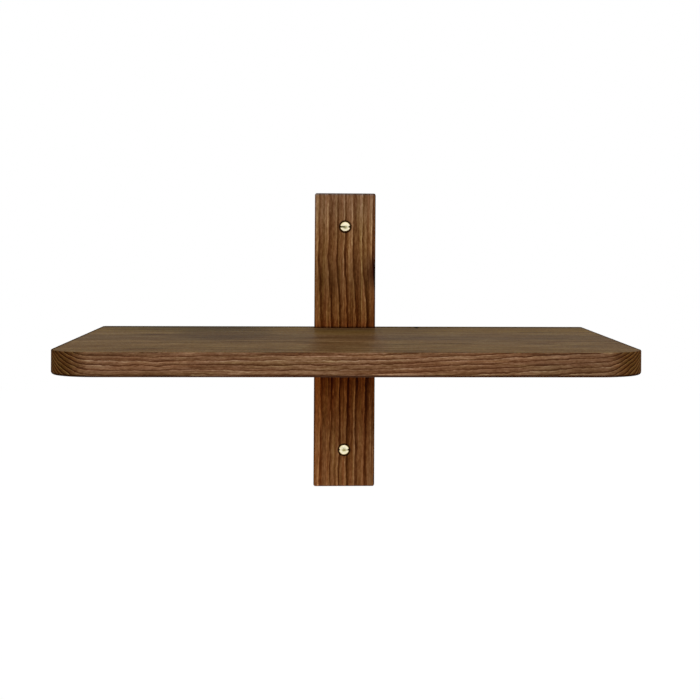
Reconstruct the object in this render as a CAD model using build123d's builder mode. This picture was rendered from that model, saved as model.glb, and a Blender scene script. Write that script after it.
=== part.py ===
from build123d import *
from math import radians, tan
import os

# Wall shelf: one hardwood board crossing one upright batten, which two brass screws hold to the wall.
# Millimetres. The wall is the plane Y = 0 and +Y points into it, +X runs along the board, +Z is up.
# The origin lies on the wall, on the centre line of the batten, halfway up the board's edge.

# Shelf board
shelf_width = 480.0
shelf_depth = 240.0
shelf_thickness = 20.0
front_corner_length = 40.0  # each front corner is a quarter ellipse: along the front edge
front_corner_depth = 26.0  # and along the side
rear_corner_radius = 3.0
shelf_top_easing = 0.8  # radius that sanding leaves round the board's top face
shelf_bottom_easing = 2.5  # and round its underside

# Upright batten
batten_width = 60.0
batten_thickness = 20.0
batten_above = 133.0  # from the board's top to the batten's upper end
batten_below = 136.0  # from the board's underside to the batten's lower end
batten_corner_radius = 2.0  # as seen from the front
batten_easing = 0.8

# Cross halving: the floor of the board's notch meets the floor of the batten's housing
notch_depth = 10.0
notch_side_clearance = 0.1
housing_top_clearance = 0.2  # the board bears on the housing's lower cheek

# Brass wall screws, slotted, with slightly raised countersunk heads
upper_screw_inset = 33.0  # from the batten's upper end
lower_screw_inset = 36.0  # from the batten's lower end
wall_screw_length = 50.0  # from the head's rim to the point
wall_shank_diameter = 4.8
wall_thread_diameter = 4.4
wall_head_diameter = 9.6
wall_head_rim = 0.3
wall_head_sink = 0.5  # how far the rim lies below the batten's front
wall_crown_height = 0.5  # how far the flat crown stands above the rim
wall_crown_diameter = 6.4
wall_slot_width = 1.4
wall_slot_depth = 1.6  # from the crown
wall_point_length = 6.0
wall_point_diameter = 0.8
wall_hole_clearance = 0.2

# Steel joint screws, cross recessed, driven from the back of the batten into the board
joint_screw_spacing = 30.0
joint_screw_length = 50.0
joint_shank_diameter = 4.5
joint_head_diameter = 9.0
joint_head_rim = 0.3
joint_head_sink = 0.5  # below the batten's back
joint_recess_length = 4.6
joint_recess_width = 1.1
joint_recess_depth = 2.0
joint_point_length = 5.0
joint_point_diameter = 0.6
joint_hole_clearance = 0.1
pilot_clearance = 0.03
pilot_beyond_point = 2.0

countersink_angle = 90.0  # included angle of every head and its seat
tool_overrun = 5.0  # how far a cut runs past the material

shelf_underside = -shelf_thickness / 2
batten_top = shelf_thickness / 2 + batten_above
batten_bottom = shelf_underside - batten_below
countersink_slope = tan(radians(countersink_angle / 2))  # how fast the radius falls with depth
notch_width = batten_width + 2 * notch_side_clearance
housing_height = shelf_thickness + housing_top_clearance
wall_screw_heights = {
    "upper_wall_screw": batten_top - upper_screw_inset,
    "lower_wall_screw": batten_bottom + lower_screw_inset,
}
joint_screw_places = {
    "left_joint_screw": -joint_screw_spacing / 2,
    "right_joint_screw": joint_screw_spacing / 2,
}

batten_front = Plane.XZ.offset(batten_thickness)  # faces the room
batten_back = -Plane.XZ  # faces the wall
joint_face = Plane.XZ.offset(notch_depth)  # where the notch's floor meets the housing's floor

os.makedirs("parts", exist_ok=True)

# Shelf board: grain along X, front corners rounded in plan, a notch at the back for the batten
with BuildPart() as shelf_board:
    with BuildSketch(Plane.XY.offset(shelf_underside)) as plan:
        with BuildLine():
            front_corner = EllipticalCenterArc(
                (shelf_width / 2 - front_corner_length, front_corner_depth - shelf_depth),
                front_corner_length,
                front_corner_depth,
                start_angle=270,
                arc_size=90,
            )
            Polyline((0, -shelf_depth), front_corner @ 0)
            Polyline(front_corner @ 1, (shelf_width / 2, 0), (0, 0))
            mirror(about=Plane.YZ)
        make_face()
        fillet(plan.vertices().group_by(Axis.Y)[-1].filter_by(lambda v: v.X != 0), rear_corner_radius)
    extrude(amount=shelf_thickness)
    fillet(shelf_board.faces().sort_by(Axis.Z)[-1].edges(), shelf_top_easing)
    fillet(shelf_board.faces().sort_by(Axis.Z)[0].edges(), shelf_bottom_easing)
    # The notch is cut after sanding, so its own edges are crisp.
    with BuildSketch(Plane.XY.offset(shelf_underside)):
        Rectangle(notch_width, notch_depth, align=(Align.CENTER, Align.MAX))
    extrude(amount=shelf_thickness, mode=Mode.SUBTRACT)
    # Pilot holes for the joint screws, bored from the floor of the notch
    with Locations(joint_face):
        with Locations(*[(x, 0) for x in joint_screw_places.values()]):
            Hole(
                joint_shank_diameter / 2 + pilot_clearance,
                depth=joint_head_sink + joint_screw_length + pilot_beyond_point - notch_depth,
            )
shelf_board.part.label = "shelf_board"
export_step(shelf_board.part, "parts/shelf_board.step")

# Upright batten: grain along Z, a housing across its front for the board
with BuildPart() as upright_batten:
    with BuildSketch(Plane.XZ):
        with Locations((0, (batten_top + batten_bottom) / 2)):
            RectangleRounded(batten_width, batten_top - batten_bottom, batten_corner_radius)
    extrude(amount=batten_thickness)
    # Only the front is eased: the back lies against the wall.
    fillet(upright_batten.faces().sort_by(Axis.Y)[0].edges(), batten_easing)
    with BuildSketch(batten_front):
        with Locations((0, shelf_underside)):
            Rectangle(batten_width + 2 * tool_overrun, housing_height, align=(Align.CENTER, Align.MIN))
    extrude(amount=notch_depth - batten_thickness, mode=Mode.SUBTRACT)
    # The mouth of the housing is eased like the outside, which leaves a fine shadow line along the board.
    front_edges = upright_batten.edges().filter_by(Axis.X).group_by(Axis.Y)[0]
    mouth = front_edges.sort_by(lambda edge: abs(edge.center().Z))[:2]
    fillet(mouth, batten_easing)
    # Countersunk holes, from the front for the wall screws and from the back for the joint screws
    with Locations(batten_front):
        with Locations(*[(0, z) for z in wall_screw_heights.values()]):
            CounterSinkHole(
                wall_shank_diameter / 2 + wall_hole_clearance,
                wall_head_diameter / 2 + (wall_head_sink + wall_head_rim) * countersink_slope,
                depth=batten_thickness,
                counter_sink_angle=countersink_angle,
            )
    with Locations(batten_back):
        with Locations(*[(x, 0) for x in joint_screw_places.values()]):
            CounterSinkHole(
                joint_shank_diameter / 2 + joint_hole_clearance,
                joint_head_diameter / 2 + (joint_head_sink + joint_head_rim) * countersink_slope,
                depth=notch_depth,
                counter_sink_angle=countersink_angle,
            )
upright_batten.part.label = "upright_batten"
export_step(upright_batten.part, "parts/upright_batten.step")

# Wall screws: the rim of the head lies in its seat, the thread starts at the wall
wall_head_radius = wall_head_diameter / 2
wall_shank_radius = wall_shank_diameter / 2
wall_thread_radius = wall_thread_diameter / 2
wall_cone_end = wall_head_rim + (wall_head_radius - wall_shank_radius) / countersink_slope
wall_shank_end = batten_thickness - wall_head_sink
for label, height in wall_screw_heights.items():
    # Local X is the radius and local Y the depth behind the rim of the head.
    screw_section = Plane(origin=(0, -wall_shank_end, height), x_dir=(1, 0, 0), z_dir=(0, 0, 1))
    with BuildPart() as wall_screw:
        with BuildSketch(screw_section):
            with BuildLine():
                Polyline(
                    (0, -wall_crown_height),
                    (wall_crown_diameter / 2, -wall_crown_height),
                    (wall_head_radius, 0),
                    (wall_head_radius, wall_head_rim),
                    (wall_shank_radius, wall_cone_end),
                    (wall_shank_radius, wall_shank_end),
                    (wall_thread_radius, wall_shank_end),
                    (wall_thread_radius, wall_screw_length - wall_point_length),
                    (wall_point_diameter / 2, wall_screw_length),
                    (0, wall_screw_length),
                    close=True,
                )
            make_face()
        revolve(axis=Axis((0, 0, height), (0, 1, 0)))
        with BuildSketch(batten_front.offset(wall_crown_height - wall_head_sink)):
            with Locations((0, height)):
                Rectangle(wall_head_diameter + 2 * tool_overrun, wall_slot_width)
        extrude(amount=-wall_slot_depth, mode=Mode.SUBTRACT)
    wall_screw.part.label = label
    export_step(wall_screw.part, f"parts/{label}.step")

# Joint screws: the head lies below the batten's back, the point is in the board
joint_head_radius = joint_head_diameter / 2
joint_shank_radius = joint_shank_diameter / 2
joint_cone_end = joint_head_rim + (joint_head_radius - joint_shank_radius) / countersink_slope
for label, place in joint_screw_places.items():
    # Local X is the radius and local Y the distance forward from the flat top of the head.
    screw_section = Plane(origin=(place, -joint_head_sink, 0), x_dir=(1, 0, 0), z_dir=(0, 0, -1))
    with BuildPart() as joint_screw:
        with BuildSketch(screw_section):
            with BuildLine():
                Polyline(
                    (0, 0),
                    (joint_head_radius, 0),
                    (joint_head_radius, joint_head_rim),
                    (joint_shank_radius, joint_cone_end),
                    (joint_shank_radius, joint_screw_length - joint_point_length),
                    (joint_point_diameter / 2, joint_screw_length),
                    (0, joint_screw_length),
                    close=True,
                )
            make_face()
        revolve(axis=Axis((place, 0, 0), (0, 1, 0)))
        with BuildSketch(Plane.XZ.offset(joint_head_sink)):
            with Locations((place, 0)):
                Rectangle(joint_recess_length, joint_recess_width)
                Rectangle(joint_recess_width, joint_recess_length)
        extrude(amount=joint_recess_depth, mode=Mode.SUBTRACT)
    joint_screw.part.label = label
    export_step(joint_screw.part, f"parts/{label}.step")
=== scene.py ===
from math import asin, cos, pi, radians, sin

import bpy
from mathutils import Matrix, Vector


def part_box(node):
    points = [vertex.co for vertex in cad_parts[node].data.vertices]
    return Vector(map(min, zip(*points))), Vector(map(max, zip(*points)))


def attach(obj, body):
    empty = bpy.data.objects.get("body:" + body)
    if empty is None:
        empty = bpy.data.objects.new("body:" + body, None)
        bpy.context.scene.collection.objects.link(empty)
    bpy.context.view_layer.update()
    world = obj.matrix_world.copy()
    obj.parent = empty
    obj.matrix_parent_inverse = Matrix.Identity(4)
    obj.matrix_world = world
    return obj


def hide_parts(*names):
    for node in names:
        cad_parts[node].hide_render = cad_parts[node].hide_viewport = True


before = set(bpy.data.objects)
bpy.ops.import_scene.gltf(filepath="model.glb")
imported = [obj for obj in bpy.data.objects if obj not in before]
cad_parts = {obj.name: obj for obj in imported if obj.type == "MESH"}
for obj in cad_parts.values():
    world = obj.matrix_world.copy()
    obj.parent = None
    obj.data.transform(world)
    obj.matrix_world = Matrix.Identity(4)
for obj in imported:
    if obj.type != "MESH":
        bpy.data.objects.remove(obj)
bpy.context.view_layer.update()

mm = 0.001  # sizes below are millimetres, Blender works in metres


# The camera, where the shelf hangs just below eye level

cameraSet = {
    "place": (-20.8, -1133.9, 107.8),
    "turnRight": 2.184,  # degrees
    "roll": 0.312,
    "lens": 58.066,
    "sensor": 36,
    "shift": (-0.0245, -0.1727),
    "clip": (50, 60000),
}


def addCamera(values):
    angles = (radians(90), radians(-values["roll"]), radians(-values["turnRight"]))
    bpy.ops.object.camera_add(location=[v * mm for v in values["place"]], rotation=angles)
    camera = bpy.context.object
    camera.name = "camera"
    camera.data.lens = values["lens"]
    camera.data.sensor_width = values["sensor"]
    camera.data.shift_x, camera.data.shift_y = values["shift"]
    camera.data.clip_start, camera.data.clip_end = [v * mm for v in values["clip"]]
    bpy.context.scene.camera = camera


addCamera(cameraSet)
print("camera placed")


# Shader maths

class Wire:
    # wraps an output socket, so that maths on it reads as an expression
    def __init__(self, tree, socket=None):
        self.tree, self.socket = tree, socket

    # any node: its type, its settings, then the values or links of its sockets
    def node(self, kind, settings=(), sockets=(), output=0):
        made = self.tree.nodes.new("ShaderNode" + kind)
        for name, value in dict(settings).items():
            if name == "stops":
                setStops(made.color_ramp, value)
            else:
                setattr(made, name, value)
        for name, value in dict(sockets).items():
            if isinstance(value, Wire):
                self.tree.links.new(value.socket, made.inputs[name])
            else:
                made.inputs[name].default_value = value
        return Wire(self.tree, made.outputs[output]) if made.outputs else None

    def math(self, operation, *values):
        return self.node("Math", {"operation": operation}, dict(enumerate(values)))

    def __add__(self, other):
        return self.math("ADD", self, other)

    def __sub__(self, other):
        return self.math("SUBTRACT", self, other)

    def __rsub__(self, other):
        return self.math("SUBTRACT", other, self)

    def __mul__(self, other):
        return self.math("MULTIPLY", self, other)

    def __truediv__(self, other):
        return self.math("DIVIDE", self, other)

    def __rtruediv__(self, other):
        return self.math("DIVIDE", other, self)

    def __abs__(self):
        return self.math("ABSOLUTE", self)

    __radd__ = __add__
    __rmul__ = __mul__

    def sine(self):
        return self.math("SINE", self)

    def floor(self):
        return self.math("FLOOR", self)

    def root(self):
        return self.math("SQRT", self)

    def larger(self, other):
        return self.math("MAXIMUM", self, other)

    # 0 below low, 1 above high and a smooth rise between them
    def rise(self, low, high):
        sockets = {"Value": self, "From Min": low, "From Max": high}
        return self.node("MapRange", {"interpolation_type": "SMOOTHSTEP"}, sockets)

    def ramp(self, stops):
        return self.node("ValToRGB", {"stops": stops}, {0: self})

    def split(self):
        return [self.node("SeparateXYZ", (), {0: self}, axis) for axis in range(3)]

    # a vector pattern drawn out or squeezed by its size along each axis
    def noise(self, size, detail, roughness):
        scaled = self.node("Mapping", (), {"Vector": self, "Scale": [1 / s for s in size]})
        sockets = {"Vector": scaled, "Scale": 1.0, "Detail": detail, "Roughness": roughness}
        return self.node("TexNoise", (), sockets)

    # a colour multiplied by another: not at all where the share is 0, fully where it is 1
    def tint(self, other, share):
        if not isinstance(other, Wire):
            other = (*other, 1)
        settings = {"data_type": "RGBA", "blend_type": "MULTIPLY"}
        return self.node("Mix", settings, {0: share, 6: self, 7: other}, 2)

    # a colour made darker and richer at once, above 1, or brighter as it is
    def deepen(self, power):
        return self.node("Gamma", (), {"Color": self, "Gamma": power})

    def brighten(self, factor):
        return self.node("VectorMath", {"operation": "SCALE"}, {0: self, "Scale": factor})


def setStops(ramp, stops):
    ramp.elements[0].position = stops[0][0]
    ramp.elements[-1].position = stops[-1][0]
    for place, _ in stops[1:-1]:
        ramp.elements.new(place)
    for element, (_, colour) in zip(ramp.elements, stops):
        if not isinstance(colour, tuple):
            colour = (colour,) * 3
        element.color = (*colour, 1)


def newMaterial(name):
    material = bpy.data.materials.new(name)
    material.use_nodes = True
    material.node_tree.nodes.clear()
    return material, Wire(material.node_tree)


def finishMaterial(material, sockets):
    tree = Wire(material.node_tree)
    surface = tree.node("BsdfPrincipled", (), sockets)
    tree.node("OutputMaterial", (), {"Surface": surface})


# Studio: a soft dome of light, and a pale floor far below

studio = {
    # how bright the dome is by height, which runs from 0 straight below to 1 straight above
    "levels": [(0.0, 0.5), (0.4, 0.5), (0.48, 1.5), (0.62, 1.5), (0.8, 1.0), (1.0, 0.7)],
    "behind": 0.75,  # share of that light from the back
    "frontToBack": (-0.3, 0.3),
    # polished metal sees a dimmer spot in front of it
    "dimFront": 0.4,
    "spotBelow": 0.16,
    "spotSize": (0.07, 0.22),
    "spotToBack": (-0.2, 0.2),
    "floorDrop": 1200,
    "floorSize": 16000,
    "floorColour": (0.8, 0.8, 0.8),
    "floorSeen": (0.9, 0.9, 0.9),  # what the camera sees of it, mixed with plain white
    "floorWhite": 0.9,
    "whiteStrength": 1.03,
}


def cameraSees(tree):
    path = tree.node("LightPath", (), (), "Is Camera Ray")
    for name in ("Is Glossy Ray", "Is Transmission Ray"):
        path = path.larger(tree.node("LightPath", (), (), name))
    return path


def lightWorld(values):
    world = bpy.data.worlds.new("softDome")
    bpy.context.scene.world = world
    world.use_nodes = True
    world.node_tree.nodes.clear()
    tree = Wire(world.node_tree)
    direction = tree.node("TexCoord", (), (), "Generated")
    toSide, toBack, toTop = direction.split()
    share = 1 - toBack.rise(*values["frontToBack"]) * (1 - values["behind"])
    # a ramp holds values up to 1, so it gets half of each level and the strength doubles it
    dome = (toTop * 0.5 + 0.5).ramp([(height, level / 2) for height, level in values["levels"]])
    lit = tree.node("Background", (), {"Color": dome, "Strength": share * 2.0})
    up = toTop + values["spotBelow"]
    fromSpot = (toSide * toSide + up * up).root()
    clear = fromSpot.rise(*values["spotSize"]).larger(toBack.rise(*values["spotToBack"]))
    glossy = tree.node("LightPath", (), (), "Is Glossy Ray")
    white = 1 - glossy * (1 - clear) * (1 - values["dimFront"])
    seen = tree.node("Background", (), {"Color": white.ramp([(0, 0.0), (1, 1.0)]), "Strength": 1.0})
    both = tree.node("MixShader", (), {0: cameraSees(tree), 1: lit, 2: seen})
    tree.node("OutputWorld", (), {"Surface": both})


def addFloor(values):
    size, drop = values["floorSize"] * mm, values["floorDrop"] * mm
    bpy.ops.mesh.primitive_plane_add(size=size, location=(0, 0, -drop))
    floorPlane = bpy.context.object
    floorPlane.name = "floor"
    material, tree = newMaterial("paleFloor")
    seen = cameraSees(tree)
    paint = seen.ramp([(0.0, values["floorColour"]), (1.0, values["floorSeen"])])
    matt = tree.node("BsdfDiffuse", (), {"Color": paint})
    white = tree.node("Emission", (), {"Color": (1, 1, 1, 1), "Strength": values["whiteStrength"]})
    both = tree.node("MixShader", (), {0: seen * values["floorWhite"], 1: matt, 2: white})
    tree.node("OutputMaterial", (), {"Surface": both})
    floorPlane.data.materials.append(material)


lightWorld(studio)
addFloor(studio)
bpy.context.scene.view_settings.view_transform = "Standard"
print("studio lit")


# Modelling helpers

slack = 0.01  # places that lie closer than this count as one
blockPast = 5  # how far a block that cuts runs past the material
borePast = 1  # and a bore
edgeSet = {
    "smoothBelow": 35,  # degrees: edges that turn by less are shaded smooth
    "breakAbove": 40,  # and edges of a screw that turn by more are broken
    "breakSteps": 2,
}


def deselectAll():
    bpy.ops.object.select_all(action="DESELECT")


def useOnly(piece):
    deselectAll()
    piece.select_set(True)
    bpy.context.view_layer.objects.active = piece


# a block from its lowest to its highest corner, in millimetres
def addBlock(name, low, high):
    deselectAll()
    centre = [(a + b) / 2 * mm for a, b in zip(low, high)]
    size = [(b - a) * mm for a, b in zip(low, high)]
    bpy.ops.mesh.primitive_cube_add(size=1, location=centre, scale=size)
    bpy.ops.object.transform_apply(location=True, rotation=True, scale=True)
    bpy.context.object.name = name
    return bpy.context.object


# selects in edit mode the vertices, edges or faces whose points all pass the test
def pick(piece, kind, test):
    useOnly(piece)
    bpy.ops.object.mode_set(mode="EDIT")
    bpy.ops.mesh.select_mode(type=kind)
    bpy.ops.mesh.select_all(action="DESELECT")
    bpy.ops.object.mode_set(mode="OBJECT")
    points = [[v / mm for v in vertex.co] for vertex in piece.data.vertices]
    if kind == "VERT":
        for vertex in piece.data.vertices:
            vertex.select = test(*points[vertex.index])
    else:
        for part in piece.data.edges if kind == "EDGE" else piece.data.polygons:
            part.select = all(test(*points[i]) for i in part.vertices)
    bpy.ops.object.mode_set(mode="EDIT")


def bevelPicked(radius, steps):
    bpy.ops.mesh.bevel(offset=radius * mm, segments=steps, profile=0.5, affect="EDGES")
    bpy.ops.object.mode_set(mode="OBJECT")


def applyModifier(piece, kind, **settings):
    useOnly(piece)
    modifier = piece.modifiers.new(kind.lower(), kind)
    for name, value in settings.items():
        setattr(modifier, name, value)
    bpy.ops.object.modifier_apply(modifier=modifier.name)


def combine(piece, other, operation):
    applyModifier(piece, "BOOLEAN", operation=operation, solver="EXACT", object=other)
    bpy.data.objects.remove(other)


def near(a, b):
    return abs(a - b) < slack


def breakEdges(piece, width):
    applyModifier(piece, "BEVEL", width=width * mm, segments=edgeSet["breakSteps"],
                  limit_method="ANGLE", angle_limit=radians(edgeSet["breakAbove"]))


# smooth rounded edges beside flat faces that stay flat
def shadeEdges(piece):
    useOnly(piece)
    bpy.ops.object.shade_smooth_by_angle(angle=radians(edgeSet["smoothBelow"]))
    applyModifier(piece, "WEIGHTED_NORMAL", keep_sharp=True)


def tidyMesh(piece):
    useOnly(piece)
    bpy.ops.object.mode_set(mode="EDIT")
    bpy.ops.mesh.select_all(action="SELECT")
    bpy.ops.mesh.remove_doubles(threshold=0.002 * mm)
    bpy.ops.mesh.normals_make_consistent(inside=False)
    bpy.ops.object.mode_set(mode="OBJECT")


# a chain of edges in the XZ plane through points of radius and height, left in edit mode
def extrudeChain(name, points):
    deselectAll()
    bpy.ops.mesh.primitive_plane_add(size=mm)
    bpy.context.object.name = name
    bpy.ops.object.mode_set(mode="EDIT")
    bpy.ops.mesh.select_mode(type="VERT")
    bpy.ops.mesh.select_all(action="SELECT")
    bpy.ops.mesh.merge(type="CENTER")
    bpy.ops.transform.translate(value=(points[0][0] * mm, 0, points[0][1] * mm))
    for (radius, height), (nextRadius, nextHeight) in zip(points, points[1:]):
        step = ((nextRadius - radius) * mm, 0, (nextHeight - height) * mm)
        bpy.ops.mesh.extrude_region_move(TRANSFORM_OT_translate={"value": step})
    return bpy.context.object


# a closed solid of revolution round Z
def spinProfile(name, points, steps):
    piece = extrudeChain(name, points)
    bpy.ops.mesh.select_all(action="SELECT")
    bpy.ops.mesh.spin(steps=steps, angle=2 * pi, center=(0, 0, 0), axis=(0, 0, 1))
    bpy.ops.object.mode_set(mode="OBJECT")
    tidyMesh(piece)
    return piece


# a threaded rod up the Z axis, which runs out to a point
def addThread(name, thread):
    root, crest, pitch = thread["root"], thread["crest"], thread["pitch"]
    bottom, top, taperFrom = thread["start"], thread["end"], thread["taperFrom"]
    spareTurns = 2  # at either end, which are cut off below
    # one turn: a root as wide as half the pitch, then the ridge
    outline = ((root, 0), (root, 0.5), (crest, 0.7), (crest, 0.8), (root, 1))
    piece = extrudeChain(name, [(out, bottom + (up - spareTurns) * pitch) for out, up in outline])
    bpy.ops.object.mode_set(mode="OBJECT")
    turns = int((top - bottom) / pitch) + 2 * spareTurns
    applyModifier(piece, "SCREW", use_merge_vertices=False, screw_offset=pitch * mm,
                  iterations=turns, steps=thread["sides"], render_steps=thread["sides"])
    tidyMesh(piece)
    # the point: what lies beyond each mark is drawn in a little more
    marks, tip = thread["taperSteps"], thread["tip"]
    shares = [(1 - mark / marks) + tip * mark / marks for mark in range(marks + 1)]
    for mark in range(marks):
        height = taperFrom + (top - taperFrom) * mark / marks
        factor = shares[mark + 1] / shares[mark]
        pick(piece, "VERT", lambda x, y, z: z > height)
        bpy.ops.transform.resize(value=(factor, factor, 1), center_override=(0, 0, 0))
        bpy.ops.object.mode_set(mode="OBJECT")
    for height, clear in ((bottom, "clear_inner"), (top, "clear_outer")):
        useOnly(piece)
        bpy.ops.object.mode_set(mode="EDIT")
        bpy.ops.mesh.select_all(action="SELECT")
        plane = {"plane_co": (0, 0, height * mm), "plane_no": (0, 0, 1), clear: True}
        bpy.ops.mesh.bisect(use_fill=True, threshold=0.001 * mm, **plane)
        bpy.ops.object.mode_set(mode="OBJECT")
    tidyMesh(piece)
    return piece


# turns a screw made up the Z axis to lie along Y and puts it in its place for good
def layScrew(piece, place, quarterTurn):
    useOnly(piece)
    piece.rotation_euler = (quarterTurn * pi / 2, 0, 0)
    piece.location = [v * mm for v in place]
    bpy.ops.object.transform_apply(location=True, rotation=True, scale=True)


def dress(piece, node, material):
    piece.data.name = piece.name
    piece.data.materials.clear()
    piece.data.materials.append(material)
    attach(piece, "root")
    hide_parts(node)


def boxOf(node):
    low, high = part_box(node)
    return [v / mm for v in low], [v / mm for v in high]


boardLow, boardHigh = boxOf("shelf_board")
battenLow, battenHigh = boxOf("upright_batten")
wallScrews = {name: boxOf(name) for name in ("upper_wall_screw", "lower_wall_screw")}
jointScrews = {name: boxOf(name) for name in ("left_joint_screw", "right_joint_screw")}


def middle(box, axis):
    return (box[0][axis] + box[1][axis]) / 2


wallScrewHeights = [middle(box, 2) for box in wallScrews.values()]
jointScrewPlaces = [middle(box, 0) for box in jointScrews.values()]


# Shelf board

board = {
    "cornerLength": 40.0,  # each front corner is a quarter ellipse: along the front
    "cornerDepth": 26.0,  # and along the side
    "cornerSteps": 20,
    "rearCorner": 3.0,
    "rearSteps": 4,
    "topEasing": 0.8,
    "topSteps": 4,
    "bottomEasing": 2.5,
    "bottomSteps": 5,
    "notchDepth": 10.0,
    "notchGap": 0.1,
    "pilotRadius": 2.28,
    "pilotEnd": -52.5,
    "pilotSides": 32,
}


def makeBoard(values):
    left, right = boardLow[0], boardHigh[0]
    front, back = boardLow[1], boardHigh[1]
    bottom, top = boardLow[2], boardHigh[2]
    piece = addBlock("shelf_board_wood", boardLow, boardHigh)
    depth = values["cornerDepth"]
    for side in (left, right):
        pick(piece, "EDGE", lambda x, y, z: near(x, side) and near(y, front))
        bevelPicked(depth, values["cornerSteps"])
    # drawn out along the front, each round corner becomes a quarter ellipse
    stretch = values["cornerLength"] / depth
    for side, inner in ((left, left + depth), (right, right - depth)):
        low, high = min(side, inner) - slack, max(side, inner) + slack
        pick(piece, "VERT", lambda x, y, z: low < x < high and y < front + depth - slack)
        centre = (side * mm, 0, 0)
        bpy.ops.transform.resize(value=(stretch, 1, 1), center_override=centre)
        bpy.ops.object.mode_set(mode="OBJECT")
    for side in (left, right):
        pick(piece, "EDGE", lambda x, y, z: near(x, side) and near(y, back))
        bevelPicked(values["rearCorner"], values["rearSteps"])
    for height, edge in ((top, "top"), (bottom, "bottom")):
        pick(piece, "FACE", lambda x, y, z: near(z, height))
        bpy.ops.mesh.region_to_loop()
        bevelPicked(values[edge + "Easing"], values[edge + "Steps"])
    tidyMesh(piece)
    shadeEdges(piece)
    # the notch is cut after sanding, so its own edges are crisp
    half = battenHigh[0] + values["notchGap"]
    notch = addBlock("notch", (-half, -values["notchDepth"], bottom - blockPast),
                     (half, back + blockPast, top + blockPast))
    combine(piece, notch, "DIFFERENCE")
    length = -values["pilotEnd"] - values["notchDepth"] + borePast
    for place in jointScrewPlaces:
        centre = (place * mm, (values["pilotEnd"] + length / 2) * mm, 0)
        deselectAll()
        bpy.ops.mesh.primitive_cylinder_add(
            vertices=values["pilotSides"], radius=values["pilotRadius"] * mm, depth=length * mm,
            location=centre, rotation=(pi / 2, 0, 0))
        combine(piece, bpy.context.object, "DIFFERENCE")
    return piece


# Upright batten

batten = {
    "cornerRadius": 2.0,  # as seen from the front
    "cornerSteps": 4,
    "easing": 0.8,
    "easingSteps": 3,
    "housingDepth": 10.0,
    "housingTopGap": 0.2,
    "wallHoleRadius": 2.6,
    "wallMouthRadius": 5.6,
    "jointHoleRadius": 2.35,
    "jointMouthRadius": 5.3,
    "holeSides": 48,
}


# a cutter for a countersunk hole, its mouth on the face that it is bored from
def addCountersink(hole, mouth, depth, sides):
    past = borePast
    profile = [(0, -past), (mouth + past, -past), (hole, mouth - hole), (hole, depth), (0, depth)]
    return spinProfile("countersink", profile, sides)


def makeBatten(values):
    left, right = battenLow[0], battenHigh[0]
    front, back = battenLow[1], battenHigh[1]
    bottom, top = battenLow[2], battenHigh[2]
    piece = addBlock("upright_batten_wood", battenLow, battenHigh)
    for side in (left, right):
        for end in (bottom, top):
            pick(piece, "EDGE", lambda x, y, z: near(x, side) and near(z, end))
            bevelPicked(values["cornerRadius"], values["cornerSteps"])
    pick(piece, "FACE", lambda x, y, z: near(y, front))
    bpy.ops.mesh.region_to_loop()
    bevelPicked(values["easing"], values["easingSteps"])
    lowCheek = boardLow[2]
    highCheek = boardHigh[2] + values["housingTopGap"]
    housingFloor = front + values["housingDepth"]
    housing = addBlock("housing", (left - blockPast, front - blockPast, lowCheek),
                       (right + blockPast, housingFloor, highCheek))
    combine(piece, housing, "DIFFERENCE")
    for cheek in (lowCheek, highCheek):
        pick(piece, "EDGE", lambda x, y, z: near(z, cheek) and near(y, front) and abs(x) < right)
        bevelPicked(values["easing"], values["easingSteps"])
    tidyMesh(piece)
    shadeEdges(piece)
    # wall screws are bored for from the front, joint screws from the back as far as the housing
    bores = [("wall", (0, front, height), -1, back - front) for height in wallScrewHeights]
    bores += [("joint", (place, back, 0), 1, back - housingFloor) for place in jointScrewPlaces]
    for kind, place, quarterTurn, depth in bores:
        hole, mouth = values[kind + "HoleRadius"], values[kind + "MouthRadius"]
        cutter = addCountersink(hole, mouth, depth + borePast, values["holeSides"])
        layScrew(cutter, place, quarterTurn)
        combine(piece, cutter, "DIFFERENCE")
    return piece


# Wall screws, slotted, with slightly raised countersunk heads

wallScrew = {
    "headRadius": 4.8,
    "sink": 0.5,  # how far the rim lies below the batten's front
    "domeHeight": 0.5,
    "rim": 0.3,
    "shankRadius": 2.4,
    "shankLength": 19.5,
    "slotWidth": 1.4,
    "slotDepth": 1.6,  # from the top of the dome
    "slotPast": 2,  # how far the cutter for the slot runs past the head
    "edgeBreak": 0.12,
    "domeSteps": 6,
    "sides": 72,
}
wallThread = {
    "root": 1.6, "crest": 2.2, "pitch": 2.2, "start": 18.5, "end": 50.0,
    "taperFrom": 44.0, "taperSteps": 12, "tip": 0.18, "sides": 28,
}


def makeWallScrew(values, thread):
    head, dome, rim = values["headRadius"], values["domeHeight"], values["rim"]
    shank, length = values["shankRadius"], values["shankLength"]
    sphere = (head ** 2 + dome ** 2) / (2 * dome)
    widest = asin(head / sphere)
    profile = [(0, -dome)]
    for step in range(1, values["domeSteps"] + 1):
        angle = widest * step / values["domeSteps"]
        profile.append((sphere * sin(angle), sphere - dome - sphere * cos(angle)))
    profile += [(head, rim), (shank, rim + head - shank), (shank, length), (0, length)]
    piece = spinProfile("upper_wall_screw_brass", profile, values["sides"])
    half, past = values["slotWidth"] / 2, values["slotPast"]
    slot = addBlock("slot", (-head - past, -half, -dome - past),
                    (head + past, half, values["slotDepth"] - dome))
    combine(piece, slot, "DIFFERENCE")
    breakEdges(piece, values["edgeBreak"])
    combine(piece, addThread("thread", thread), "UNION")
    shadeEdges(piece)
    return piece


# Joint screws, cross recessed, from the back of the batten into the board

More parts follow.
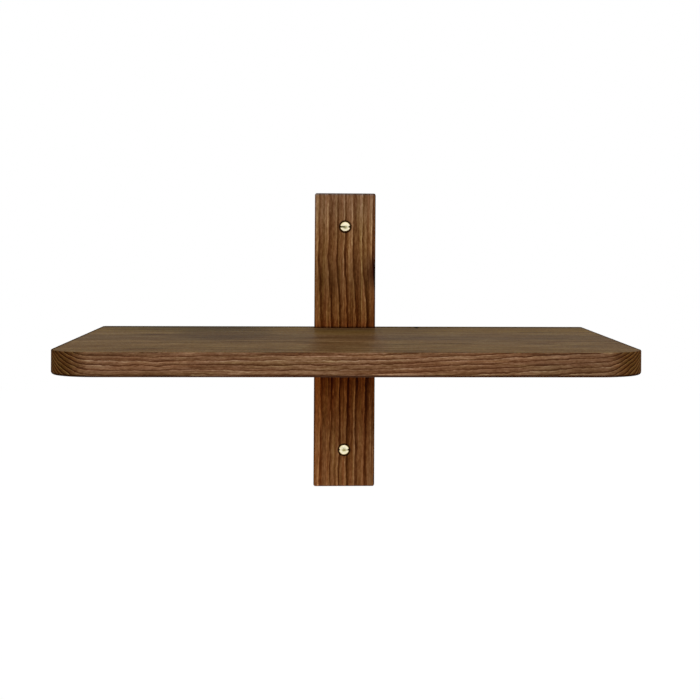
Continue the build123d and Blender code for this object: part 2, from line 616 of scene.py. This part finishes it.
jointScrew = {
    "headRadius": 4.5,
    "rim": 0.3,
    "shankRadius": 2.25,
    "shankLength": 22.0,
    "recessLength": 4.6,
    "recessWidth": 1.1,
    "recessDepth": 2.0,
    "recessTaper": 0.45,
    "edgeBreak": 0.1,
    "sink": 0.5,
    "sides": 56,
}
jointThread = {
    "root": 1.5, "crest": 2.2, "pitch": 2.0, "start": 21.0, "end": 50.0,
    "taperFrom": 44.0, "taperSteps": 12, "tip": 0.14, "sides": 28,
}


def makeJointScrew(values, thread):
    head, rim = values["headRadius"], values["rim"]
    shank, length = values["shankRadius"], values["shankLength"]
    profile = [(0, 0), (head, 0), (head, rim), (shank, rim + head - shank)]
    profile += [(shank, length), (0, length)]
    piece = spinProfile("left_joint_screw_steel", profile, values["sides"])
    arm, half = values["recessLength"] / 2, values["recessWidth"] / 2
    depth, taper = values["recessDepth"], values["recessTaper"]
    for across in ((arm, half), (half, arm)):
        cutter = addBlock("recess", (-across[0], -across[1], -depth), (*across, depth))
        pick(cutter, "FACE", lambda x, y, z: near(z, depth))
        bpy.ops.transform.resize(value=(taper, taper, 1), center_override=(0, 0, 0))
        bpy.ops.object.mode_set(mode="OBJECT")
        combine(piece, cutter, "DIFFERENCE")
    breakEdges(piece, values["edgeBreak"])
    combine(piece, addThread("thread", thread), "UNION")
    shadeEdges(piece)
    return piece


def copyPiece(piece, name):
    twin = piece.copy()
    twin.data = piece.data.copy()
    twin.name = name
    bpy.context.collection.objects.link(twin)
    return twin


# Wood finish: growth rings about the pith
# Going outwards, each year starts with a dark line and ends pale.

wood = {
    "years": [(0.0, 0.12), (0.04, 0.0), (0.14, 0.04), (0.29, 0.4), (0.5, 0.52), (0.78, 0.58),
              (0.9, 0.8), (0.95, 0.76), (1.0, 0.12)],
    "tones": [(0.0, (0.085, 0.029, 0.009)), (0.3, (0.146, 0.062, 0.025)), (0.55, (0.220, 0.109, 0.053)),
              (0.8, (0.300, 0.166, 0.092)), (1.0, (0.430, 0.270, 0.165))],
    "contrast": 0.78,
    "yearLuck": (0.7, 0.6),  # contrast of the faintest year, and what luck adds
    # how strong each pattern of the grain is
    "streaks": 1.0,
    "fibres": 0.55,
    "hairs": 0.55,
    "flecks": 0.75,
    "patches": 0.3,
    "paleMarks": 0.2,
    "darkMarks": 0.26,
    "pores": 0.12,
    "endQuiet": 0.8,  # how much weaker streaks and fibres are on end grain
    # what comes in spots sets in at the first strength of its pattern and is full at the second
    "paleAbove": (0.6, 0.74),
    "darkAbove": (0.58, 0.7),
    "poresAbove": (0.6, 0.68),
    "poresUntil": (0.2, 0.5),  # pores lie in the dark start of each year
    # tints, broad and fine, and the strengths of their patterns where they set in and are full
    "reddish": (1.0, 0.925, 0.83),
    "reddishAbove": (0.48, 0.66),
    "olive": (0.96, 1.0, 0.88),
    "oliveBelow": (0.36, 0.52),
    "fineReddish": (1.01, 0.98, 0.98),
    "fineReddishAbove": (0.5, 0.64),
    "fineOlive": (0.99, 1.02, 0.95),
    "fineOliveBelow": (0.36, 0.5),
    "relief": 0.12,
    "reliefStrength": 0.3,
    "roughness": 0.7,
    "paleSmoother": 0.1,
    "oilRoughness": 0.35,
}
# each pattern's width across the grain and length along it, its detail and its roughness
grainPatterns = {
    "streaks": (2.1, 95, 3, 0.6),
    "fibres": (0.8, 42, 2, 0.6),
    "hairs": (0.3, 14, 2, 0.6),
    "flecks": (1.4, 5, 3, 0.65),
    "patches": (7, 90, 2, 0.5),
    "paleMarks": (1.2, 17, 2, 0.55),
    "darkMarks": (1.1, 60, 2, 0.5),
    "pores": (0.25, 5, 1, 0.5),
    "hue": (5, 150, 3, 0.6),
    "fineHue": (1.5, 30, 2, 0.6),
}
battenWood = {
    "pith": (-150.0, 110.0),  # x and y, outside the batten
    "firstRing": 180.2,
    "ringWidth": 6.64,
    "ringsInside": 40,  # a ring's number is what its luck comes from
    # how the rings waver: size, detail, roughness and how far
    "waver": [((26, 26, 40), 3, 0.55, 2.4), ((9, 9, 15), 2, 0.5, 2.4)],
    # how far the grain lies to the right, by height
    "sway": [(-146, 2.6), (-60, 3.7), (17, 3.4), (37, 2.4), (79, 0.0), (100, 0.8), (143, 1.0)],
    "swayRest": 2.3,
    "lean": {"place": (22, 28), "size": (24, 50)},  # the grain leans to the right below the knot
    "leanBy": 1.8,
    "crowding": (1.3, 50),  # rings lie closer and wider in turn: how far, over which width
    # near the top the rings are fainter and the fibres stronger
    "upperPart": (50, 120),
    "fainterRings": 0.2,
    "strongerFibres": 0.35,
    # painted shade: how much deeper and darker the colour is made towards the shelf, which shades the
    # batten above and below it, and the brightness, both by height
    "depth": [(-146, 0.30), (-103, 0.36), (-48, 0.75), (-20, 1.15), (0, 0.8), (26, 0.5),
              (55, 0.36), (90, 0.25), (125, 0.0), (143, 0.0)],
    "gain": [(-146, 1.64), (-103, 1.66), (-48, 1.82), (-20, 2.6), (-12.8, 2.5), (-11.4, 1.0),
             (11.2, 0.7), (12.2, 2.3), (26, 1.96), (55, 1.30), (90, 1.46), (125, 0.98), (143, 0.95)],
    # painted shade: redder and deeper tints towards the shelf, by height
    "tints": [(-146, (0.97, 1, 0.90)), (-93, (0.95, 1, 0.88)), (-33, (0.98, 0.82, 0.38)),
              (-13, (1, 0.60, 0.36)), (20, (0.90, 1, 0.82)), (66, (0.92, 1, 0.90)),
              (100, (0.95, 1, 0.88)), (143, (1, 1, 1))],
    # the back keeps one tone all the way up
    "backDepth": 0.35,
    "backGain": 1.35,
    "backFrom": (-3, -1),
    "lowerPart": (-40, 20),
    # brightness across the lower part
    "acrossBelow": [(-30, 1), (7, 1), (9, 0.82), (12, 0.82), (14, 1), (22, 1), (24, 0.73),
                    (27.8, 0.73), (29.5, 1)],
    # a paler line along the left edge, wider and paler in the lower part
    "lineStart": (1, 2),
    "lineEnd": (4.5, 6),
    "lineWider": 2.5,
    "lineGain": 0.2,
    "lineGainBelow": 0.22,
    "knot": {"place": (31.0, 67.0), "size": (14, 26)},
    "knotTint": (0.22, 0.10, 0.09),
    "screwShadeRing": (5.7, 7.0),  # painted shade round the wall screws, where the countersinks lie in shadow, from black to none
    "screwShadeTint": (0.09, 0.05, 0.03),
    "arris": (28.9, 29.7),  # where the eased edges start and end
    # painted shade along the eased edges
    "arrisShadeTint": (0.42, 0.38, 0.37),
    "greyEnd": (-2.8, -0.8),  # the upper end has gone grey
    "greyTint": (0.76, 1.02, 1.7),
    "oil": 0.02,  # share of the surface that a thin film of oil covers
}
boardWood = {
    "pith": (-167.0, -61.0),  # y and z, below the board
    "firstRing": 89.9,
    "ringWidth": 2.42,
    "ringsInside": 60,
    "waver": [((46, 30, 30), 3, 0.6, 2.6), ((11, 9, 9), 3, 0.6, 2.0)],
    # the rings climb towards the right end: from where, how sharply they bend, how steep
    "climb": (20, 40, 0.018),
    "grainLength": 0.7,
    "brightness": 0.87,
    "ringsFront": 1.2,
    "ringsTop": 0.3,
    "ringsEnd": 0.85,  # added on end grain
    "grainFront": 1.2,
    "grainTop": 1.35,
    "flat": (9.7, 9.95),  # heights over which the edges end and the flat faces start
    "topFace": (9.3, 9.6),
    "ends": (203, 227),  # the front corners turn from side grain to end grain
    "backFrom": (-3, -1),
    "endGrain": (0.76, 0.76, 0.52),
    "endDeeper": 0.3,
    "endDry": 0.8,  # how much less oil end grain shows
    # brightness of the front along its length
    "frontGain": [(-240, 0.91), (-150, 0.97), (-60, 1.0), (30, 1.04), (90, 1.09),
                  (125, 1.04), (160, 0.82), (205, 0.87), (240, 1.12)],
    # the top and underside tinted more olive: partly the wood's own colour, partly a painted sheen
    "topTintAndSheen": (0.89, 1.05, 0.84),
    # bands of colour along the top, from its rear edge to its front, and how far they wander
    "topBands": [(0.0, (0.98, 0.94, 0.70)), (0.13, (0.97, 0.93, 0.62)), (0.2, (0.97, 0.93, 0.60)),
                 (0.3, (1.0, 1.0, 0.90)), (0.42, (0.84, 0.84, 0.90)), (0.51, (0.78, 0.77, 0.82)),
                 (0.565, (0.76, 0.75, 0.80)), (0.6, (1, 1, 1)), (1.0, (1.0, 0.98, 0.94))],
    "bandWander": ((150, 22, 22), 3, 0.6, 30),
    "topStreak": (0.64, 0.60, 0.54),
    "topStreakPattern": ((110, 11, 11), 3, 0.6),
    "topStreakAbove": (0.48, 0.68),
    "shade": {"place": (-112, -75), "size": (66, 100), "full": 0.5},
    "shadeTint": (0.73, 0.71, 0.70),
    "oliveShade": {"place": (-150, -20), "size": (130, 68), "full": 0.7},  # at the rear
    "oliveTint": (0.66, 0.67, 0.50),
    # painted reflection: the top in front of the batten tinted redder with darker streaks, as if it
    # mirrored the batten, from the rear to the front
    "reflectedBattenZone": (24, 40),
    "reflectedBattenTints": [(0, (0.90, 0.87, 1.2)), (0.08, (0.96, 0.90, 1.35)), (0.10, (0.98, 0.92, 1.4)),
                     (0.14, (0.80, 0.80, 1.25)), (0.22, (0.82, 0.84, 1.05)), (0.27, (1, 0.98, 1)),
                     (0.36, (1.05, 1.01, 1.04)), (0.50, (1.06, 1.02, 1.08)), (0.58, (1.16, 1.12, 1.25)),
                     (0.66, (1.06, 1.02, 1.14)), (0.72, (0.98, 0.94, 1.02)), (0.92, (0.94, 0.91, 0.98)),
                     (1, (1, 0.96, 1.04))],
    "reflectedStreakShares": [(0, 0), (0.40, 0), (0.46, 0.7), (0.53, 0.8), (0.56, 0), (0.64, 0),
                     (0.665, 0.8), (0.69, 0), (0.72, 0.8), (0.90, 0.7), (0.96, 0)],
    "reflectedStreakTint": (0.82, 0.76, 0.72),
    # a darker line along the top of the front, which fades out to the right
    "upperLine": (7.4, 8.4),
    "upperLineEnd": (-60, 20),
    "upperTint": (0.76, 0.71, 0.66),
    # painted shade along the lower eased edge of the front, which faces down
    "lowerEdge": (7.7, 8.5),
    "flatBelow": (9.8, 9.95),
    "arrisShadeTint": (0.32, 0.22, 0.15),
    # painted shade: dark lines along the edges of the top, measured in from them
    "sideLine": (-3, -2),
    "rearLine": (-9, -4),
    "topEdgeShadeTint": (0.34, 0.33, 0.32),
    # painted shade where the top meets the wall
    "wallShade": (-30, -10),  # a darker strip along the wall
    "wallShadeTint": (0.72, 0.74, 0.82),
    "wornRear": (-14, -8),  # the oil has worn off the edges of the top
    "pinKnot": {"place": (71.5, -8.0), "size": (3.0, 22), "full": 0.8},
    "pinKnotDepth": (5, 8),
    "pinKnotTint": (0.02, 0.015, 0.01),
    "oil": 0.11,
}


# millimetres on the piece itself
def placeOn(tree):
    place = tree.node("TexCoord", (), (), "Object")
    return tree.node("Mapping", (), {"Vector": place, "Scale": (1000,) * 3})


# a colour that follows its stops, each a place and the colour there
def followColour(value, stops):
    low, high = stops[0][0], stops[-1][0]
    shares = [((place - low) / (high - low), colour) for place, colour in stops]
    return ((value - low) / (high - low)).ramp(shares)


# the same for numbers up to 4
def follow(value, stops):
    return followColour(value, [(place, level / 4) for place, level in stops]) * 4


# 1 at the middle of an oval patch and nothing at its rim
def patch(across, along, oval):
    u = (across - oval["place"][0]) / oval["size"][0]
    v = (along - oval["place"][1]) / oval["size"][1]
    inside = 1 - (u * u + v * v).root().rise(0, 1)
    return inside.rise(0, oval["full"]) if "full" in oval else inside


# either way by half of how far each layer goes
def waver(place, layers):
    return sum((place.noise(size, detail, rough) - 0.5) * far for size, detail, rough, far in layers)


# tone and colour of the wood: rings, then streaks, fibres and pores along the grain
def woodColour(tree, age, place, grain, ringShare, grainShare):
    def pattern(name):
        wide, long, detail, rough = grainPatterns[name]
        return place.noise(grain(wide, long), detail, rough)

    def swing(name):
        return (pattern(name) - 0.5) * wood[name]

    year = age.floor()
    share = age - year
    luck = tree.node("TexWhiteNoise", {"noise_dimensions": "1D"}, {"W": year})
    faintest, added = wood["yearLuck"]
    rings = (share.ramp(wood["years"]) - 0.5) * (faintest + luck * added) * wood["contrast"]
    lines = swing("streaks") + swing("fibres") + swing("hairs") + swing("flecks")
    pale = pattern("paleMarks").rise(*wood["paleAbove"]) * wood["paleMarks"]
    dark = pattern("darkMarks").rise(*wood["darkAbove"]) * wood["darkMarks"]
    tone = rings * ringShare + (lines + pale - dark) * grainShare + swing("patches") + 0.5
    pores = pattern("pores").rise(*wood["poresAbove"]) * (1 - share.rise(*wood["poresUntil"]))
    tone = tone - pores * wood["pores"]
    colour = tone.ramp(wood["tones"])
    for name, redder, greener in (("hue", "reddish", "olive"), ("fineHue", "fineReddish", "fineOlive")):
        hue = pattern(name)
        colour = colour.tint(wood[redder], hue.rise(*wood[redder + "Above"]))
        colour = colour.tint(wood[greener], 1 - hue.rise(*wood[greener + "Below"]))
    return colour, tone, pores


def finishWood(tree, material, colour, tone, pores, oil):
    bump = tree.node("Bump", (), {
        "Strength": wood["reliefStrength"], "Distance": wood["relief"] * mm, "Height": tone - pores})
    finishMaterial(material, {
        "Base Color": colour, "Roughness": wood["roughness"] - tone * wood["paleSmoother"],
        "Normal": bump, "Specular IOR Level": 0.0,
        "Coat Weight": oil, "Coat Roughness": wood["oilRoughness"]})
    return material


def makeBattenWood(values):
    material, tree = newMaterial("battenWood")
    place = placeOn(tree)
    x, y, z = place.split()
    sway = follow(z, values["sway"]) - values["swayRest"]
    lean = patch(x, z, values["lean"]) * values["leanBy"]
    side = x - sway + waver(place, values["waver"]) - lean
    far, width = values["crowding"]
    fromLeft = x - battenLow[0]
    side = side - ((side - battenLow[0]) * (2 * pi / width)).sine() * far
    out = side - values["pith"][0]
    inwards = y - values["pith"][1]
    age = ((out * out + inwards * inwards).root() - values["firstRing"]) / values["ringWidth"]
    start, end = values["arris"]
    longer = (battenHigh[2] - battenLow[2]) / 2 - battenHigh[0]
    fromEnd = abs(z - middle((battenLow, battenHigh), 2)) - longer
    upper = z.rise(*values["upperPart"])
    rings = 1 - upper * values["fainterRings"]
    sideGrain = 1 - fromEnd.rise(start, end) * wood["endQuiet"]
    colour, tone, pores = woodColour(
        tree, age + values["ringsInside"], place, lambda wide, long: (wide, wide, long),
        rings, sideGrain * (upper * values["strongerFibres"] + 1))
    colour = colour.tint(values["knotTint"], patch(x, z, values["knot"]))
    front = 1 - y.rise(*values["backFrom"])
    below = 1 - z.rise(*values["lowerPart"])
    # painted shade on the front, by height: deeper, darker and redder towards the shelf, which shades
    # it
    depth = (follow(z, values["depth"]) - values["backDepth"]) * front + values["backDepth"]
    gain = (follow(z, values["gain"]) - values["backGain"]) * front + values["backGain"]
    paleLine = fromLeft.rise(*values["lineStart"])
    paleLine = paleLine * (1 - (fromLeft - below * values["lineWider"]).rise(*values["lineEnd"]))
    gain = gain * (paleLine * (below * values["lineGainBelow"] + values["lineGain"]) + 1)
    gain = gain * ((follow(x, values["acrossBelow"]) - 1) * below * front + 1)
    colour = colour.deepen(depth + 1).brighten(gain)
    colour = colour.tint(followColour(z, values["tints"]), front)
    # painted shade round the wall screws, where the countersinks lie in shadow
    middleHeight = sum(wallScrewHeights) / 2
    fromScrew = abs(z - middleHeight) - (wallScrewHeights[0] - middleHeight)
    ring = 1 - (x * x + fromScrew * fromScrew).root().rise(*values["screwShadeRing"])
    colour = colour.tint(values["screwShadeTint"], ring)
    # painted shade along the eased edges
    arris = abs(x).larger(fromEnd).rise(start, end)
    colour = colour.tint(values["arrisShadeTint"], arris)
    colour = colour.tint(values["greyTint"], (z - battenHigh[2]).rise(*values["greyEnd"]))
    return finishWood(tree, material, colour, tone, pores, values["oil"])


def makeBoardWood(values):
    material, tree = newMaterial("boardWood")
    place = placeOn(tree)
    x, y, z = place.split()
    climbFrom, bend, slope = values["climb"]
    past = x - climbFrom
    climb = (past + (past * past + bend * bend).root()) * slope
    out = y - values["pith"][0]
    up = z - values["pith"][1]
    radius = (out * out + up * up).root() - climb + waver(place, values["waver"])
    age = (radius - values["firstRing"]) / values["ringWidth"] + values["ringsInside"]
    flat = abs(z).rise(*values["flat"])
    endGrain = abs(x).rise(*values["ends"]) * (1 - y.rise(*values["backFrom"])) * (1 - flat)
    ringShare = values["ringsFront"] + flat * (values["ringsTop"] - values["ringsFront"])
    grainShare = values["grainFront"] * (1 - endGrain * wood["endQuiet"])
    grainShare = grainShare + flat * (values["grainTop"] - values["grainFront"])
    colour, tone, pores = woodColour(
        tree, age, place, lambda wide, long: (long * values["grainLength"], wide, wide),
        ringShare + endGrain * values["ringsEnd"], grainShare)
    colour = colour.tint(values["endGrain"], endGrain)
    # partly painted sheen: the top and underside tinted more olive
    colour = colour.tint(values["topTintAndSheen"], flat)
    towardsFront = (y + waver(place, [values["bandWander"]])) / boardLow[1]
    colour = colour.tint(towardsFront.ramp(values["topBands"]), flat)
    streaks = place.noise(*values["topStreakPattern"]).rise(*values["topStreakAbove"])
    colour = colour.tint(values["topStreak"], streaks * flat)
    onTop = flat * z.rise(0, 1)
    colour = colour.tint(values["shadeTint"], patch(x, y, values["shade"]) * onTop)
    colour = colour.tint(values["oliveTint"], patch(x, y, values["oliveShade"]) * onTop)
    # painted reflection: in front of the batten the top is tinted and streaked as if it mirrored the
    # batten
    reflectedBattenZone = (1 - abs(x).rise(*values["reflectedBattenZone"])) * onTop
    colour = colour.tint(towardsFront.ramp(values["reflectedBattenTints"]), reflectedBattenZone)
    darker = towardsFront.ramp(values["reflectedStreakShares"]) * reflectedBattenZone
    colour = colour.tint(values["reflectedStreakTint"], darker)
    gain = flat + (1 - flat) * follow(x, values["frontGain"])
    colour = colour.deepen(endGrain * values["endDeeper"] + 1).brighten(gain * values["brightness"])
    upper = z.rise(*values["upperLine"]) * (1 - flat) * (1 - x.rise(*values["upperLineEnd"]))
    colour = colour.tint(values["upperTint"], upper)
    # painted shade along the lower eased edge of the front, which faces down
    under = z * -1
    arris = under.rise(*values["lowerEdge"]) * (1 - under.rise(*values["flatBelow"]))
    colour = colour.tint(values["arrisShadeTint"], arris)
    topFace = z.rise(*values["topFace"])
    # painted shade: dark lines along the edges of the top and a darker strip along the wall
    sideLine = (abs(x) - boardHigh[0]).rise(*values["sideLine"])
    edgeLine = y.rise(*values["rearLine"]).larger(sideLine) * topFace
    colour = colour.tint(values["topEdgeShadeTint"], edgeLine)
    colour = colour.tint(values["wallShadeTint"], y.rise(*values["wallShade"]) * topFace)
    pinKnot = patch(x, y, values["pinKnot"]) * z.rise(*values["pinKnotDepth"])
    colour = colour.tint(values["pinKnotTint"], pinKnot)
    worn = y.rise(*values["wornRear"]).larger(sideLine) * topFace
    oil = (1 - worn) * (1 - pinKnot) * (1 - endGrain * values["endDry"]) * values["oil"]
    return finishWood(tree, material, colour, tone, pores, oil)


# Brass and steel finishes

brass = {
    "bright": (0.98, 0.91, 0.68),
    "dull": (0.84, 0.76, 0.50),
    "roughness": 0.16,
    "recess": (0.12, 0.11, 0.04),
    "middleReflection": {"place": (0.2, -0.5), "size": (2.9, 2.6)},  # painted reflection: the middle of the head darker, as if it mirrored the dim camera side
    "middleReflectionTint": (0.52, 0.51, 0.28),
    "rim": (4.1, 4.7),  # tarnish round its edge
    "rimTint": (0.62, 0.48, 0.20),
    # painted shade and tarnish: how dark the slot is along its length, on the upper and on the lower
    # screw
    "slots": [[(-4.8, 1), (-1.0, 0.9), (0.4, 0.2), (3.0, 0.1), (3.8, 1), (4.8, 1)],
              [(-4.8, 0.4), (-3.4, 0.05), (-1.5, 0.2), (1.5, 0.2), (3.2, 0.3), (4.0, 1), (4.8, 1)]],
    "slotSpread": 0.5,
    "slotFloor": (1.4, 1.6),  # below the rim
}
steel = {
    "bright": (0.62, 0.62, 0.60),
    "dull": (0.45, 0.45, 0.43),
    "roughness": 0.32,
    "recess": (0.4, 0.4, 0.4),
    "recessSpread": 0.1,
    "recessMouth": (0.1, 0.4),
    "recessFloor": (2.1, 2.3),
}
# what both metals share
turning = {
    # two patterns, each with its size, detail and roughness
    "patina": ((1.6, 1.6, 1.6), 4, 0.6),
    "scratches": ((0.12, 0.12, 2.4), 2, 0.6),
    "dullAbove": (0.35, 0.7),
    "lines": 24,  # how close the rings left by the lathe lie
    "lineHeight": 0.3,
    "relief": 0.02,
    "reliefStrength": 0.25,
    "patinaRougher": 0.2,
    "lineRougher": 0.015,
}


# the slot or recess of a head is darkened: tarnish, and in the brass slots painted shade as well
def makeMetal(name, values, axisPlace, inside, worn=None):
    material, tree = newMaterial(name)
    centred = tree.node("Mapping", (), {
        "Vector": tree.node("TexCoord", (), (), "Object"),
        "Location": [-v for v in axisPlace], "Scale": (1000,) * 3})
    x, y, z = centred.split()
    patina = centred.noise(*turning["patina"])
    turned = ((x * x + z * z).root() * turning["lines"]).sine()
    height = turned * turning["lineHeight"] + centred.noise(*turning["scratches"])
    colour = patina.rise(*turning["dullAbove"]).ramp([(0.0, values["bright"]), (1.0, values["dull"])])
    colour = colour.tint(values["recess"], inside(x, y, z))
    if worn:
        colour = worn(colour, x, z)
    rougher = (patina - 0.5) * turning["patinaRougher"] + turned * turning["lineRougher"]
    bump = tree.node("Bump", (), {
        "Strength": turning["reliefStrength"], "Distance": turning["relief"] * mm, "Height": height})
    finishMaterial(material, {
        "Base Color": colour, "Metallic": 1.0,
        "Roughness": rougher + values["roughness"], "Normal": bump})
    return material


# painted shade and tarnish in and beside the slot of a brass head
def slotInside(x, y, z, shades):
    half = wallScrew["slotWidth"] / 2
    depth = y - (battenLow[1] + wallScrew["sink"])
    inSlot = 1 - abs(z).rise(half, half + brass["slotSpread"])
    return inSlot * (1 - depth.rise(*brass["slotFloor"])) * follow(x, shades)


# painted reflection in the middle of the head, and tarnish round its edge
def headReflectionAndTarnish(colour, x, z):
    colour = colour.tint(brass["middleReflectionTint"], patch(x, z, brass["middleReflection"]))
    edge = (x * x + z * z).root().rise(*brass["rim"])
    return colour.tint(brass["rimTint"], edge)


def crossInside(x, y, z):
    reach = jointScrew["recessLength"] / 2
    depth = battenHigh[1] - jointScrew["sink"] - y
    inRecess = 1 - (x * x + z * z).root().rise(reach, reach + steel["recessSpread"])
    return inRecess * depth.rise(*steel["recessMouth"]) * (1 - depth.rise(*steel["recessFloor"]))


# Everything is made, placed and dressed

boardPiece = makeBoard(board)
dress(boardPiece, "shelf_board", makeBoardWood(boardWood))
print("board made")
battenPiece = makeBatten(batten)
dress(battenPiece, "upright_batten", makeBattenWood(battenWood))
print("batten made")

firstWallScrew = makeWallScrew(wallScrew, wallThread)
wallPieces = [firstWallScrew, copyPiece(firstWallScrew, "lower_wall_screw_brass")]
for piece, (node, box), shades in zip(wallPieces, wallScrews.items(), brass["slots"]):
    height = middle(box, 2)
    layScrew(piece, (0, battenLow[1] + wallScrew["sink"], height), -1)
    slot = lambda x, y, z: slotInside(x, y, z, shades)
    finish = makeMetal(node + "Brass", brass, (0, 0, height), slot, headReflectionAndTarnish)
    dress(piece, node, finish)
print("wall screws made")

firstJointScrew = makeJointScrew(jointScrew, jointThread)
jointPieces = [firstJointScrew, copyPiece(firstJointScrew, "right_joint_screw_steel")]
for piece, (node, box) in zip(jointPieces, jointScrews.items()):
    across = middle(box, 0)
    layScrew(piece, (across, battenHigh[1] - jointScrew["sink"], 0), 1)
    finish = makeMetal(node + "Steel", steel, (across, 0, 0), crossInside)
    dress(piece, node, finish)
print("joint screws made")
